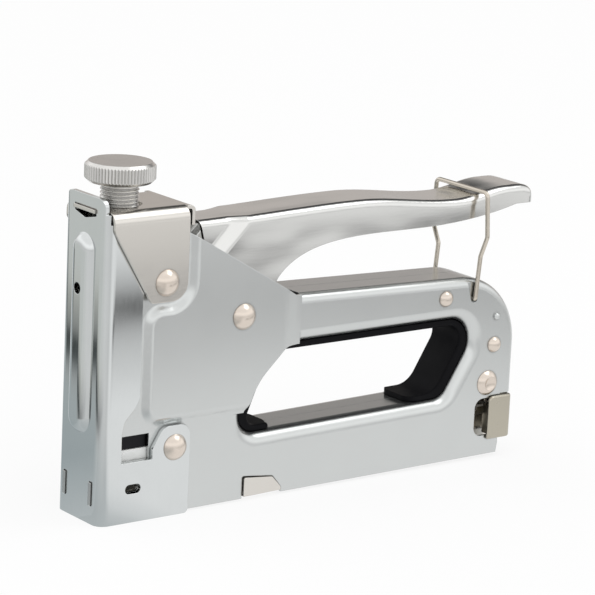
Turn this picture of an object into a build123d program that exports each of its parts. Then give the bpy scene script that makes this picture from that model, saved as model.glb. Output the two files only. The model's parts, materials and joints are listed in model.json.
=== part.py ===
from build123d import *
import math
import os

# Frame: millimetres, X from the nose to the tail, Z up, Y across the tool.
# The origin is the foot of the nose plate's front wall, midway through its thickness.

# Fits
SHEET_GAP = 0.05          # between stacked sheets that are riveted together
RUN_CLEAR = 0.05          # radial clearance of a pin or screw that turns
SLIDE_CLEAR = 0.3         # between a sliding piece and its guide
SEAM_GAP = 0.1            # between the two half shells

# Half shells
SHELL_WALL = 1.0
SHELL_HALF_WIDTH = 11.2
SHELL_BOTTOM_Z = 0.45
SHELL_TAIL_Z = 1.5         # the lower edge rises a little towards the tail
SHELL_TOP_Z = 97.0
SHELL_REAR_X = 174.0
SHELL_REAR_LOW_X = 168.3
TAIL_CHAMFER_X = 0.6
TAIL_CHAMFER_Z = 3.3
RAIL_FRONT_X = 76.2
RAIL_FRONT_Z = 68.6
RAIL_REAR_Z = 65.7        # height of the upper rail if it ran on to the rear wall
MOUTH_REAR_X = 79.0       # the open top that the lever stands in ends here
REAR_RADIUS = 25.0
SLANT_TOP_X = 27.0
RAIL_SHOULDER = 3.2
DIMPLE_X = 164.3
DIMPLE_Z = 51.5
DIMPLE_RADIUS = 1.3

# Hand window: sharp corners and their radii
WINDOW_TOP_Z = 51.7
WINDOW_FRONT_BOTTOM_Z = 22.5
WINDOW_REAR_BOTTOM_Z = 23.9
WINDOW_FRONT_TOP_X = 71.8
WINDOW_KNEE_X = 60.6
WINDOW_KNEE_Z = 41.0
WINDOW_FRONT_BOTTOM_X = 52.9
WINDOW_REAR_BOTTOM_X = 143.4
WINDOW_REAR_TOP_X = 160.7
WINDOW_FRONT_TOP_R = 4.5
WINDOW_KNEE_R = 22.0
WINDOW_FRONT_BOTTOM_R = 6.6
WINDOW_REAR_BOTTOM_R = 7.0
WINDOW_REAR_TOP_R = 8.5
WINDOW_SHOULDER = 4.6

# Raised panel that houses the lever
PANEL_RISE = 1.9
PANEL_BEVEL = 3.8
PANEL_STEPS = 3           # sections of its soft edge
PANEL_LEFT_X = 14.6
PANEL_BOTTOM_Z = 30.6
PANEL_REAR_X = 78.4
PANEL_REAR_BEVEL = 8.4    # longer where the panel runs out into the upper rail
PANEL_STEP_X = 31.6       # where it passes behind the bracket
PANEL_STEP_Z = 71.6
PANEL_CORNER_R = 7.0

# Nose plate
NOSE_WALL = 1.6
NOSE_BEND = 3.8
NOSE_SHOULDER_Z = 102.6
NOSE_TOP_Z = 107.4
NOSE_TAB_HALF = 11.0
NOSE_TAB_R = 3.0
UPPER_WING_X = 13.8
LOWER_WING_X = 34.0
LOWER_WING_Z = 30.6
WING_UNDER_BRACKET_X = 28.0
WING_UNDER_BRACKET_Z = 76.5
PEEP_FRONT_X = 7.3
PEEP_REAR_X = 18.8
PEEP_BOTTOM_Z = 20.3
PEEP_TOP_Z = 28.8
TONGUE_X = 23.6
WING_NECK_Z = 41.5
KEY_SLOT_X = 12.2
KEY_SLOT_Z = 11.3
KEY_SLOT_LENGTH = 6.0
KEY_SLOT_WIDTH = 3.2
RIB_RISE = 2.4
RIB_FLANK = 2.0           # run of its sloping sides
RIB_EDGE_R = 4.0
RIB_HALF_WIDTH = 5.7
RIB_BOTTOM_Z = 28.9
RIB_TOP_Z = 95.0
RIB_HOLE_Z = 77.0
RIB_HOLE_R = 1.9
LUG_Y = 7.6
LUG_WIDTH = 1.3
LUG_BOTTOM_Z = 6.4
LUG_TOP_Z = 14.0
LUG_PROUD = 0.5
LUG_GAP = 0.3

# Top bracket
BRACKET_WALL = 1.2
BRACKET_TOP_Z = 103.4
BRACKET_BEND = 4.0
BRACKET_GAP = 0.3         # between its cheeks and the nose plate
BRACKET_FRONT_X = 1.3
BRACKET_REAR_X = 29.9
BRACKET_BOTTOM_Z = 72.8
BRACKET_FOOT_X = 16.2
BRACKET_SHOULDER_Z = 97.4
BRACKET_FOOT_R = 6.0
LIP_REACH = 3.2
LIP_BEND = 2.0
LIP_BOTTOM_Z = 96.8
LIP_HALF_WIDTH = 12.4
TONGUE_HALF_WIDTH = 6.1
TONGUE_REACH = 0.7
TONGUE_SLOT_DROP = 2.4    # open depth of the slot below the tongue

# Tension screw and its bush
KNOB_X = 11.9
KNOB_RADIUS = 11.5
KNOB_BOTTOM_Z = 110.6
KNOB_TOP_Z = 117.2
KNOB_CHAMFER = 1.2
KNURL_COUNT = 64
KNURL_DEPTH = 0.45
SCREW_RADIUS = 6.35
SCREW_END_Z = 95.0
THREAD_PITCH = 1.27
THREAD_DEPTH = 0.55
SPIGOT_RADIUS = 3.0
SPIGOT_LENGTH = 2.2
BUSH_RADIUS = 9.0
BUSH_HOLE_GAP = 1.1       # round the screw where it passes the bracket
BUSH_BOTTOM_Z = 99.4

# Hammer, blade and drive spring
BLADE_THICKNESS = 0.9
BLADE_HALF_WIDTH = 5.6
BLADE_TIP_Z = 3.0
BLADE_TOP_Z = 56.0
HAMMER_REAR_X = 20.0
HAMMER_HALF_WIDTH = 9.6
HAMMER_BOTTOM_Z = 24.1
HAMMER_TOP_Z = 60.0
HAMMER_SPIGOT_LENGTH = 4.0
BLADE_RIVET_RADIUS = 1.5
BLADE_RIVET_LENGTH = 4.0
BLADE_RIVET_Z = (34.0, 44.0)
SPRING_WIRE = 1.8
SPRING_MEAN_RADIUS = 4.7
SPRING_TURNS = 8
SEAT_RADIUS = 6.2
SEAT_HEIGHT = 3.4

# Lifter and handle
PIVOT_X = 53.7
PIVOT_Z = 64.2
PIVOT_PIN_R = 3.0
LIFTER_HALF_WIDTH = 2.5
LIFTER_HUB_R = 7.0
LIFTER_TIP_X = 13.0
LIFTER_TIP_Z = 51.0
LIFTER_TIP_R = 2.6
LIFTER_PIN_DX = -2.0
LIFTER_PIN_DZ = 13.0
LIFTER_PIN_R = 2.0
LIFTER_LOBE_R = 4.5
SQUEEZE_DEG = 12.5
HANDLE_WALL = 1.2
HANDLE_FRONT_X = 38.4
HANDLE_FRONT_Z = 96.5
HANDLE_CHIN_X = 40.5
HANDLE_CHIN_Z = 88.0
HANDLE_CREST_X = 103.0
HANDLE_CREST_Z = 98.0
HANDLE_TIP_X = 179.2
HANDLE_SADDLE_RUN = 33.2   # from the saddle to the tip
HANDLE_SADDLE_Z = 94.6
HANDLE_LIP_RUN = 11.2      # from the raised lip to the tip
HANDLE_LIP_Z = 97.5
HANDLE_TIP_Z = 92.8
HANDLE_TIP_BOTTOM_Z = 91.0
HANDLE_BELLY_X = 128.0
HANDLE_BELLY_Z = 86.3
HANDLE_ROOT_X = 69.0
HANDLE_ROOT_Z = 75.2
HANDLE_LOBE_R = 8.5
HANDLE_NECK_HALF = 8.0
HANDLE_NECK_X = 48.6       # where the neck begins to widen
HANDLE_SHOULDER_X = 54.6   # where it has its full width
HANDLE_FLARE_Z = 93.0      # height of these two places: the widening leans back as it rises
HANDLE_FLARE_R = 5.0
HANDLE_HALF_WIDTH = 10.3
HANDLE_EDGE_R = 2.6

# Wire latch
LATCH_WIRE_R = 0.8
LATCH_X = 153.7
LATCH_Z = 58.8
LATCH_BED = 0.6           # depth of the pockets in the shells that the arms lie in
LATCH_ARM_GAP = 0.15      # between the arms and the pockets' floors
LATCH_SIDE_GAP = 0.4      # between the arms and the pockets' sides
LATCH_SWING_DEG = 16.0    # for which the pockets widen upwards
LATCH_HOOK = 4.2          # how far the wire's ends reach past the outer face
LATCH_LEAN_X = 1.3
LATCH_KINK_LOW_Z = 15.2
LATCH_KINK_HIGH_Z = 22.6
LATCH_KINK_X = 1.0
LATCH_KINK_OUT = 3.35     # how far the arms step out to clear the handle
LATCH_TOP_X = 0.85
LATCH_TOP_IN = 1.1        # how far they lean back in at the crossbar
LATCH_REST_GAP = 0.5      # between the crossbar and the handle
LATCH_BEND = 2.0

# Magazine, rail and pusher
CHANNEL_WALL = 0.8
CHANNEL_HALF_WIDTH = 6.8
CHANNEL_REAR_X = 168.0
CHANNEL_BOTTOM_Z = 1.6
CHANNEL_TOP_Z = 15.0
RAIL_HALF_WIDTH = 4.4
RAIL_WALL = 0.8
RAIL_TOP_Z = 11.0
TAB_FRONT_X = 57.4
TAB_REAR_X = 73.2
TAB_TOP_Z = 8.2
TAB_REAR_TOP_X = 69.4
TAB_REAR_TOP_Z = 6.8
TAB_CORNER_R = 1.2
TAB_PROUD = 0.9
TAB_NOTCH_GAP = 0.35
TAB_REAR_GAP = 0.08       # of the notch behind the ear
GUIDE_REAR_X = 9.0
GUIDE_TOP_Z = 19.6
GUIDE_BLADE_GAP = 0.4
BUMPER_REAR_X = 20.0
PUSHER_FRONT_X = 12.0
PUSHER_LENGTH = 18.0
PUSHER_HEAD_HALF = 3.5
PUSHER_HEAD_TOP_Z = 19.4
PUSHER_SADDLE_TOP_Z = 13.4
ROD_RADIUS = 1.3
ROD_Z = 16.6
PUSH_WIRE = 0.8
PUSH_MEAN_RADIUS = 2.3
PUSH_TURNS = 28

# Rear catch
CATCH_WALL = 1.0
CATCH_LEG_GAP = 0.5
CATCH_FRONT_X = 162.5
CATCH_BOTTOM_Z = 7.0
CATCH_TOP_Z = 22.6
CATCH_CORNER_R = 2.0
CATCH_LIP = 2.6           # depth of the edge turned into the recess
CATCH_LIP_GAP = 0.6       # between that edge and the foot of the recess
CATCH_LIP_R = 0.8
CATCH_WEB_GAP = 3.7       # behind the shells' lower rear edge
RECESS_FRONT_X = 157.0
RECESS_BOTTOM_Z = 8.4
RECESS_TOP_Z = 22.0
RECESS_R = 3.4
REAR_STEP_Z = 23.0

# Window liner
LINER_THICKNESS = 3.0
LINER_FRONT = 4.8         # thicker in front
LINER_TOP = 2.4           # thinner above
LINER_HALF_WIDTH = 8.0
LINER_FIT = 0.1
LINER_FRONT_END_X = 70.0
LINER_REAR_END_X = 129.0
LINER_EDGE_R = 1.0
LINER_FLOOR = 1.7         # thinner where it lies on the lower rail
LINER_REAR_R = 9.0
LINER_FRONT_END_R = 5.0
LINER_REAR_END_R = 4.0

# Rivets: place, shank radius, head radius and head height
BRACKET_RIVET_X = 21.8
BRACKET_RIVET_Z = 79.2
NOSE_RIVET_X = 28.2
NOSE_RIVET_Z = 23.2
BIG_RIVET_R = 2.5
BIG_HEAD_R = 4.5
BIG_HEAD_H = 2.9
RAIL_RIVETS = ((140.9, 60.2), (164.0, 41.3))
SMALL_RIVET_R = 1.6
SMALL_HEAD_R = 2.9
SMALL_HEAD_H = 2.1
TUBE_RIVET_X = 161.9
TUBE_RIVET_Z = 27.6
TUBE_RIVET_R = 2.6
TUBE_HEAD_R = 4.5
TUBE_HEAD_H = 2.5
TUBE_DISH_R = 3.2         # of the dish, were the head flat
TUBE_DISH_DEPTH = 1.4
TUBE_RIM_R = 0.4

# Sizes that follow from the ones above
NOSE_HALF_WIDTH = SHELL_HALF_WIDTH + SHEET_GAP + NOSE_WALL
NOSE_FRONT_X = -NOSE_WALL / 2
NOSE_INNER_X = NOSE_WALL / 2
SHELL_FRONT_X = NOSE_INNER_X + NOSE_BEND - NOSE_WALL
BRACKET_INNER_HALF = NOSE_HALF_WIDTH + BRACKET_GAP
BRACKET_HALF_WIDTH = BRACKET_INNER_HALF + BRACKET_WALL
PANEL_HALF_WIDTH = SHELL_HALF_WIDTH + PANEL_RISE
TONGUE_BOTTOM_Z = BRACKET_TOP_Z - BRACKET_WALL
NOSE_WING_TOP_Z = BRACKET_TOP_Z - BRACKET_BEND
NOSE_EDGE_X = BRACKET_FRONT_X - SLIDE_CLEAR
BLADE_FRONT_X = NOSE_INNER_X + SLIDE_CLEAR
BLADE_REAR_X = BLADE_FRONT_X + BLADE_THICKNESS
GUIDE_FRONT_X = BLADE_REAR_X + GUIDE_BLADE_GAP
SHELL_INNER_HALF = SHELL_HALF_WIDTH - SHELL_WALL
INSIDE_HALF = SHELL_INNER_HALF - SLIDE_CLEAR
CHANNEL_INNER_HALF = CHANNEL_HALF_WIDTH - CHANNEL_WALL
CHANNEL_FLOOR_Z = CHANNEL_BOTTOM_Z + CHANNEL_WALL
BUMPER_BOTTOM_Z = GUIDE_TOP_Z
BUMPER_TOP_Z = HAMMER_BOTTOM_Z - SLIDE_CLEAR
SEAT_TOP_Z = SCREW_END_Z - SLIDE_CLEAR
SEAT_BOTTOM_Z = SEAT_TOP_Z - SEAT_HEIGHT
CATCH_WEB_X = SHELL_REAR_LOW_X + CATCH_WEB_GAP
CATCH_INNER_HALF = SHELL_HALF_WIDTH + CATCH_LEG_GAP
CATCH_HALF_WIDTH = CATCH_INNER_HALF + CATCH_WALL
LATCH_BED_Y = SHELL_HALF_WIDTH - LATCH_BED
LATCH_ARM_Y = LATCH_BED_Y + LATCH_ARM_GAP + LATCH_WIRE_R
HANDLE_SADDLE_X = HANDLE_TIP_X - HANDLE_SADDLE_RUN
HANDLE_LIP_X = HANDLE_TIP_X - HANDLE_LIP_RUN
FAR = 400.0               # longer than the tool, for open cuts
WIDE = 40.0               # wider than the tool, for cuts right across


def inset(corners, distance):
    """Move every side of a counter-clockwise outline inwards; the corner radii follow."""
    moved = []
    count = len(corners)
    for i, (x, z, radius) in enumerate(corners):
        before = Vector(*corners[i - 1][:2])
        here = Vector(x, z)
        after = Vector(*corners[(i + 1) % count][:2])
        along_in = (here - before).normalized()
        along_out = (after - here).normalized()
        normal_in = Vector(-along_in.Y, along_in.X)
        normal_out = Vector(-along_out.Y, along_out.X)
        shift = (normal_in + normal_out) * (distance / (1 + normal_in.dot(normal_out)))
        convex = along_in.cross(along_out).Z > 0
        new_radius = radius - distance if convex else radius + distance
        point = here + shift
        moved.append((point.X, point.Y, max(new_radius, 0.0) if radius else 0.0))
    return moved


def outline(corners):
    """Face inside a closed line with rounded corners, given as (x, y, radius)."""
    edges = []
    ends = []
    count = len(corners)
    for i, (x, y, radius) in enumerate(corners):
        here = Vector(x, y)
        to_before = (Vector(*corners[i - 1][:2]) - here).normalized()
        to_after = (Vector(*corners[(i + 1) % count][:2]) - here).normalized()
        if radius == 0:
            ends.append((here, here))
            continue
        half = math.radians(to_before.get_angle(to_after)) / 2
        reach = radius / math.tan(half)
        start = here + to_before * reach
        stop = here + to_after * reach
        middle_way = (to_before + to_after).normalized()
        middle = here + middle_way * (radius / math.sin(half) - radius)
        edges.append(Edge.make_three_point_arc(start, middle, stop))
        ends.append((start, stop))
    for i in range(count):
        start = ends[i][1]
        stop = ends[(i + 1) % count][0]
        if (stop - start).length > 1e-6:
            edges.append(Edge.make_line(start, stop))
    return make_face(edges)


def side_prism(corners, half):
    """Outline in the XZ plane, as thick as the tool is wide."""
    return extrude(Plane.XZ * outline(corners), amount=half, both=True)


def side_slab(corners, low_y, high_y):
    """Outline in the XZ plane between two heights across the tool."""
    return extrude(Plane.XZ.offset(-high_y) * outline(corners), amount=high_y - low_y)


def front_prism(corners, low_x, high_x):
    """Outline in the YZ plane between two places along the tool."""
    return extrude(Plane.YZ.offset(low_x) * outline(corners), amount=high_x - low_x)


def block(x0, x1, y0, y1, z0, z1):
    """Box between two corners."""
    return Pos((x0 + x1) / 2, (y0 + y1) / 2, (z0 + z1) / 2) * Box(x1 - x0, y1 - y0, z1 - z0)


def cross_pin(x, z, radius, half):
    """Cylinder across the tool."""
    return Pos(x, 0, z) * Rot(90, 0, 0) * Cylinder(radius, 2 * half)


def long_pin(y, z, radius, x0, x1):
    """Cylinder along the tool."""
    return Pos((x0 + x1) / 2, y, z) * Rot(0, 90, 0) * Cylinder(radius, x1 - x0)


def post(x, radius, z0, z1):
    """Upright cylinder on the centre plane."""
    return Pos(x, 0, (z0 + z1) / 2) * Cylinder(radius, z1 - z0)


def dome(radius, height):
    """Cap of a sphere standing on the XY plane."""
    ball = (radius ** 2 + height ** 2) / (2 * height)
    angle = math.asin(min(radius / ball, 1.0)) / 2
    rim = Vector(radius, 0, 0)
    top = Vector(0, 0, height)
    middle = Vector(ball * math.sin(angle), 0, height - ball + ball * math.cos(angle))
    face = make_face([
        Edge.make_line(Vector(0, 0, 0), rim),
        Edge.make_three_point_arc(rim, middle, top),
        Edge.make_line(top, Vector(0, 0, 0)),
    ])
    return revolve(face, Axis.Z)


def rivet(x, z, shank_r, head_r, head_h, grip_half):
    """Shank across the tool with a domed head on both outer faces."""
    head = dome(head_r, head_h)
    left = Pos(x, -grip_half, z) * Rot(90, 0, 0) * head
    right = Pos(x, grip_half, z) * Rot(-90, 0, 0) * head
    return cross_pin(x, z, shank_r, grip_half) + left + right


def helix_arcs(radius, pitch, turns):
    """Tangent arcs along a helix about Z from Z = 0, two arcs to each half turn."""
    def point(angle):
        return Vector(radius * math.cos(angle), radius * math.sin(angle), pitch * angle / (2 * math.pi))

    def heading(angle):
        climb = pitch / (2 * math.pi)
        return Vector(-radius * math.sin(angle), radius * math.cos(angle), climb).normalized()

    edges = []
    for step in range(2 * turns):
        start, stop = point(step * math.pi), point((step + 1) * math.pi)
        way_in, way_out = heading(step * math.pi), heading((step + 1) * math.pi)
        span = stop - start
        along = span.dot(way_in + way_out)
        spread = 2 * (1 - way_in.dot(way_out))
        reach = (-along + math.sqrt(along ** 2 + spread * span.dot(span))) / spread
        knee_in = start + way_in * reach
        knee_out = stop - way_out * reach
        middle = (knee_in + knee_out) * 0.5
        edges.append(Edge.make_tangent_arc(start, way_in, middle))
        edges.append(Edge.make_tangent_arc(middle, (knee_out - knee_in).normalized(), stop))
    return edges


def coil(radius, wire, length, turns):
    """Compression spring about Z with its ends on Z = 0 and Z = length."""
    pitch = (length - wire) / turns
    edges = helix_arcs(radius, pitch, turns)
    start = edges[0] @ 0
    section = Plane(origin=start, z_dir=edges[0] % 0) * Circle(wire / 2)
    spring = sweep(section, path=Wire(edges))
    samples = [edge @ (k / 8) for edge in edges for k in range(8)]
    per_turn = len(samples) // turns
    nearest = min(
        (samples[i] - samples[j]).length
        for i in range(len(samples))
        for j in range(i + per_turn // 2, min(i + 2 * per_turn, len(samples)))
    )
    print(f"spring of {turns} turns: least gap to itself {nearest - wire:.2f} mm")
    return Pos(0, 0, wire / 2) * spring


def window_corners():
    """Sharp corners of the hand window, counter-clockwise from the front bottom."""
    return [
        (WINDOW_FRONT_BOTTOM_X, WINDOW_FRONT_BOTTOM_Z, WINDOW_FRONT_BOTTOM_R),
        (WINDOW_REAR_BOTTOM_X, WINDOW_REAR_BOTTOM_Z, WINDOW_REAR_BOTTOM_R),
        (WINDOW_REAR_TOP_X, WINDOW_TOP_Z, WINDOW_REAR_TOP_R),
        (WINDOW_FRONT_TOP_X, WINDOW_TOP_Z, WINDOW_FRONT_TOP_R),
        (WINDOW_KNEE_X, WINDOW_KNEE_Z, WINDOW_KNEE_R),
    ]


def shell_corners():
    """Side outline of the shells below the upper rail, which runs on to the nose."""
    slope = (RAIL_FRONT_Z - RAIL_REAR_Z) / (SHELL_REAR_X - RAIL_FRONT_X)
    front_z = RAIL_FRONT_Z + slope * (RAIL_FRONT_X - SHELL_FRONT_X)
    return [
        (SHELL_FRONT_X, SHELL_BOTTOM_Z, 0),
        (SHELL_REAR_LOW_X - TAIL_CHAMFER_X, SHELL_TAIL_Z, 0),
        (SHELL_REAR_LOW_X, SHELL_TAIL_Z + TAIL_CHAMFER_Z, 0),
        (SHELL_REAR_LOW_X, REAR_STEP_Z, 0),
        (SHELL_REAR_X, REAR_STEP_Z, 0),
        (SHELL_REAR_X, RAIL_REAR_Z, REAR_RADIUS),
        (SHELL_FRONT_X, front_z, 0),
    ]


def cavity_corners():
    """Side outline of the space inside: open at the nose, the foot, the lower rear and the slant."""
    wall = SHELL_WALL
    return [
        (-FAR, -FAR, 0),
        (FAR, -FAR, 0),
        (FAR, REAR_STEP_Z, 0),
        (SHELL_REAR_X - wall, REAR_STEP_Z, 0),
        (SHELL_REAR_X - wall, RAIL_REAR_Z - wall, REAR_RADIUS - wall),
        (MOUTH_REAR_X, RAIL_FRONT_Z - wall, 0),
        (MOUTH_REAR_X, FAR, 0),
        (-FAR, FAR, 0),
    ]


def pressed_block(corners, window, half, shoulder, window_shoulder, front_x):
    """Prism with rounded shoulders along the upper rail, the rear and the window."""
    body = side_prism(corners, half)
    rim = [
        edge for edge in body.edges()
        if abs(abs(edge.center().Y) - half) < 1e-3
        and front_x + 1 < edge.center().X < SHELL_REAR_X + 1
        and edge.center().Z > REAR_STEP_Z + 1
    ]
    body = fillet(rim, shoulder)
    body -= side_prism(window, half + 1)
    mouth = [
        edge for edge in body.edges()
        if abs(abs(edge.center().Y) - half) < 1e-3 and in_window_box(edge.center(), window)
    ]
    return fillet(mouth, window_shoulder)


def in_window_box(point, window):
    """True for a point within the window's own extent."""
    xs = [corner[0] for corner in window]
    zs = [corner[1] for corner in window]
    return min(xs) - 1 < point.X < max(xs) + 1 and min(zs) - 1 < point.Z < max(zs) + 1


def panel_corners():
    """Foot of the raised panel; it runs on into the window and past the slanted edge."""
    return [
        (PANEL_LEFT_X, PANEL_BOTTOM_Z, PANEL_CORNER_R),
        (PANEL_REAR_X, PANEL_BOTTOM_Z, 0),
        (PANEL_REAR_X, SHELL_TOP_Z + PANEL_CORNER_R, 0),
        (PANEL_STEP_X, SHELL_TOP_Z + PANEL_CORNER_R, 0),
        (PANEL_STEP_X, PANEL_STEP_Z, PANEL_CORNER_R),
        (PANEL_LEFT_X, PANEL_STEP_Z, PANEL_CORNER_R),
    ]


def raised_panel(base_half):
    """Softly pressed panels on both sides of a body of the given half width."""
    foot = panel_corners()
    root = side_slab(foot, -base_half, 0)
    sections = []
    for k in range(PANEL_STEPS + 1):
        share = k / PANEL_STEPS
        rise = PANEL_RISE * share * share * (3 - 2 * share)
        line = inset(foot, PANEL_BEVEL * share)
        for rear in (1, 2):
            x, z, radius = line[rear]
            line[rear] = (x - (PANEL_REAR_BEVEL - PANEL_BEVEL) * share, z, radius)
        sections.append(Plane.XZ.offset(base_half + rise) * outline(line))
    panel = root + loft(sections)
    return panel + mirror(panel, about=Plane.XZ)


def above_slant():
    """Everything over the slanted edge of the shells."""
    return side_prism([
        (RAIL_FRONT_X, RAIL_FRONT_Z, 0),
        (FAR, RAIL_FRONT_Z, 0),
        (FAR, FAR, 0),
        (-FAR, FAR, 0),
        (-FAR, SHELL_TOP_Z, 0),
        (SLANT_TOP_X, SHELL_TOP_Z, 0),
    ], WIDE)


def shell_holes():
    """Rivet holes, the peep hole, the key slot, the recess and the notches, right across."""
    holes = cross_pin(PIVOT_X, PIVOT_Z, PIVOT_PIN_R, WIDE)
    holes += cross_pin(BRACKET_RIVET_X, BRACKET_RIVET_Z, BIG_RIVET_R, WIDE)
    holes += cross_pin(NOSE_RIVET_X, NOSE_RIVET_Z, BIG_RIVET_R, WIDE)
    holes += cross_pin(TUBE_RIVET_X, TUBE_RIVET_Z, TUBE_RIVET_R, WIDE)
    for x, z in RAIL_RIVETS:
        holes += cross_pin(x, z, SMALL_RIVET_R, WIDE)
    holes += cross_pin(LATCH_X, LATCH_Z, LATCH_WIRE_R + RUN_CLEAR, WIDE)
    holes += block(PEEP_FRONT_X, PEEP_REAR_X, -WIDE, WIDE, PEEP_BOTTOM_Z, PEEP_TOP_Z)
    holes += key_slot()
    holes += side_prism([
        (RECESS_FRONT_X, RECESS_BOTTOM_Z, RECESS_R),
        (FAR, RECESS_BOTTOM_Z, 0),
        (FAR, RECESS_TOP_Z, 0),
        (RECESS_FRONT_X, RECESS_TOP_Z, RECESS_R),
    ], WIDE)
    return holes + side_prism(tab_corners(TAB_NOTCH_GAP, TAB_REAR_GAP), WIDE)


def tab_corners(gap, rear_gap):
    """Side outline of the ear at the foot, or of its notch when given gaps."""
    return [
        (TAB_FRONT_X - gap, SHELL_BOTTOM_Z - TAB_TOP_Z, 0),
        (TAB_REAR_X + rear_gap, SHELL_BOTTOM_Z - TAB_TOP_Z, 0),
        (TAB_REAR_X + rear_gap, SHELL_TAIL_Z + TAB_CORNER_R, TAB_CORNER_R),
        (TAB_REAR_TOP_X + rear_gap, TAB_REAR_TOP_Z + gap, TAB_CORNER_R),
        (TAB_FRONT_X - gap, TAB_TOP_Z + gap, TAB_CORNER_R / 2),
    ]


def key_slot():
    """Obround opening through the nose plate and the shells."""
    half = KEY_SLOT_WIDTH / 2
    reach = KEY_SLOT_LENGTH / 2
    return side_prism([
        (KEY_SLOT_X - reach, KEY_SLOT_Z - half, half * 0.98),
        (KEY_SLOT_X + reach, KEY_SLOT_Z - half, half * 0.98),
        (KEY_SLOT_X + reach, KEY_SLOT_Z + half, half * 0.98),
        (KEY_SLOT_X - reach, KEY_SLOT_Z + half, half * 0.98),
    ], WIDE)


def shell_pair():
    """Both half shells before they are parted on the centre plane."""
    window = window_corners()
    wider = inset(window, -SHELL_WALL)
    outer = pressed_block(
        shell_corners(), window, SHELL_HALF_WIDTH, RAIL_SHOULDER, WINDOW_SHOULDER, SHELL_FRONT_X)
    outer += block(
        SHELL_FRONT_X, PANEL_STEP_X + PANEL_BEVEL, -SHELL_HALF_WIDTH, SHELL_HALF_WIDTH,
        PANEL_BOTTOM_Z, SHELL_TOP_Z)
    outer += raised_panel(SHELL_HALF_WIDTH)
    outer -= side_prism(window, WIDE)
    outer -= above_slant()
    inner = pressed_block(
        cavity_corners(), wider, SHELL_INNER_HALF, RAIL_SHOULDER - SHELL_WALL,
        WINDOW_SHOULDER - SHELL_WALL, RAIL_FRONT_X)
    inner += raised_panel(SHELL_INNER_HALF)
    inner -= side_prism(wider, WIDE)
    for side in (-1, 1):
        outer += Pos(DIMPLE_X, side * SHELL_HALF_WIDTH, DIMPLE_Z) * Sphere(DIMPLE_RADIUS)
    return bed_latch(outer - inner, outer) - shell_holes()


def latch_pocket(wall):
    """Side outline of the pocket for the latch's arm, or of the metal round it when given a wall."""
    side = LATCH_WIRE_R + LATCH_SIDE_GAP
    rise = RAIL_FRONT_Z - LATCH_Z
    swing = rise * math.tan(math.radians(LATCH_SWING_DEG))
    lean = LATCH_LEAN_X * rise / LATCH_KINK_LOW_Z
    return inset([
        (LATCH_X - side, LATCH_Z - side, side * 0.9), (LATCH_X + side, LATCH_Z - side, side * 0.9),
        (LATCH_X + side + lean, LATCH_Z + rise, 0), (LATCH_X - side - swing, LATCH_Z + rise, 0),
    ], -wall)


def bed_latch(shells, outside):
    """Press the pockets for the latch's arms into the shells."""
    for side in (-1, 1):
        floor_y = side * LATCH_BED_Y
        deep_y = floor_y - side * SHELL_WALL
        face_y = side * SHELL_HALF_WIDTH
        far_y = side * WIDE
        shells += outside & side_slab(latch_pocket(SHELL_WALL), min(deep_y, face_y), max(deep_y, face_y))
        shells -= side_slab(latch_pocket(0), min(floor_y, far_y), max(floor_y, far_y))
    return shells


def half_shell(pair, side):
    """One of the two half shells, on the given side of the seam."""
    if side < 0:
        return pair & block(-FAR, FAR, -WIDE, -SEAM_GAP / 2, -FAR, FAR)
    return pair & block(-FAR, FAR, SEAM_GAP / 2, WIDE, -FAR, FAR)


def wing_corners():
    """Side outline of the nose plate's wings and its front wall."""
    return [
        (-FAR, 0, 0),
        (LOWER_WING_X, 0, 1.5),
        (LOWER_WING_X, LOWER_WING_Z, 4.0),
        (TONGUE_X, LOWER_WING_Z, 4.0),
        (PEEP_REAR_X + 0.6, PEEP_BOTTOM_Z + 3.4, 2.0),
        (PEEP_REAR_X + 0.6, PEEP_BOTTOM_Z, 0),
        (PEEP_FRONT_X, PEEP_BOTTOM_Z, 0),
        (PEEP_FRONT_X, PEEP_TOP_Z + 0.8, 2.0),
        (PEEP_FRONT_X + 0.9, PEEP_TOP_Z + 5.4, 2.0),
        (UPPER_WING_X - 1.6, WING_NECK_Z - 3.0, 2.0),
        (UPPER_WING_X, WING_NECK_Z, 2.0),
        (UPPER_WING_X, WING_UNDER_BRACKET_Z, 1.0),
        (WING_UNDER_BRACKET_X, WING_UNDER_BRACKET_Z, 1.0),
        (WING_UNDER_BRACKET_X, NOSE_WING_TOP_Z, 0),
        (NOSE_EDGE_X, NOSE_WING_TOP_Z, 0),
        (NOSE_EDGE_X, NOSE_TOP_Z, 0),
        (-FAR, NOSE_TOP_Z, 0),
    ]


def rib_section(inside):
    """Section of the rib: a flat crest with sloping sides, or its hollow when moved inside."""
    crest_x = NOSE_FRONT_X - RIB_RISE
    root_x = NOSE_FRONT_X + 3 * NOSE_WALL
    crest = RIB_HALF_WIDTH - RIB_FLANK
    root = crest + RIB_FLANK * (root_x - crest_x) / RIB_RISE
    return outline(inset([
        (crest_x, crest, RIB_EDGE_R), (crest_x, -crest, RIB_EDGE_R), (root_x, -root, 0), (root_x, root, 0),
    ], inside))


def rib_form(inside):
    """Long rib on the front wall with round ends."""
    section = rib_section(inside)
    low = RIB_BOTTOM_Z + RIB_HALF_WIDTH
    high = RIB_TOP_Z - RIB_HALF_WIDTH
    end = revolve(section & Pos(0, WIDE / 2) * Rectangle(WIDE, WIDE), axis=Axis.X, revolution_arc=360)
    form = Pos(0, 0, low) * extrude(section, amount=high - low, dir=(0, 0, 1))
    return form + Pos(0, 0, low) * end + Pos(0, 0, high) * end


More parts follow.
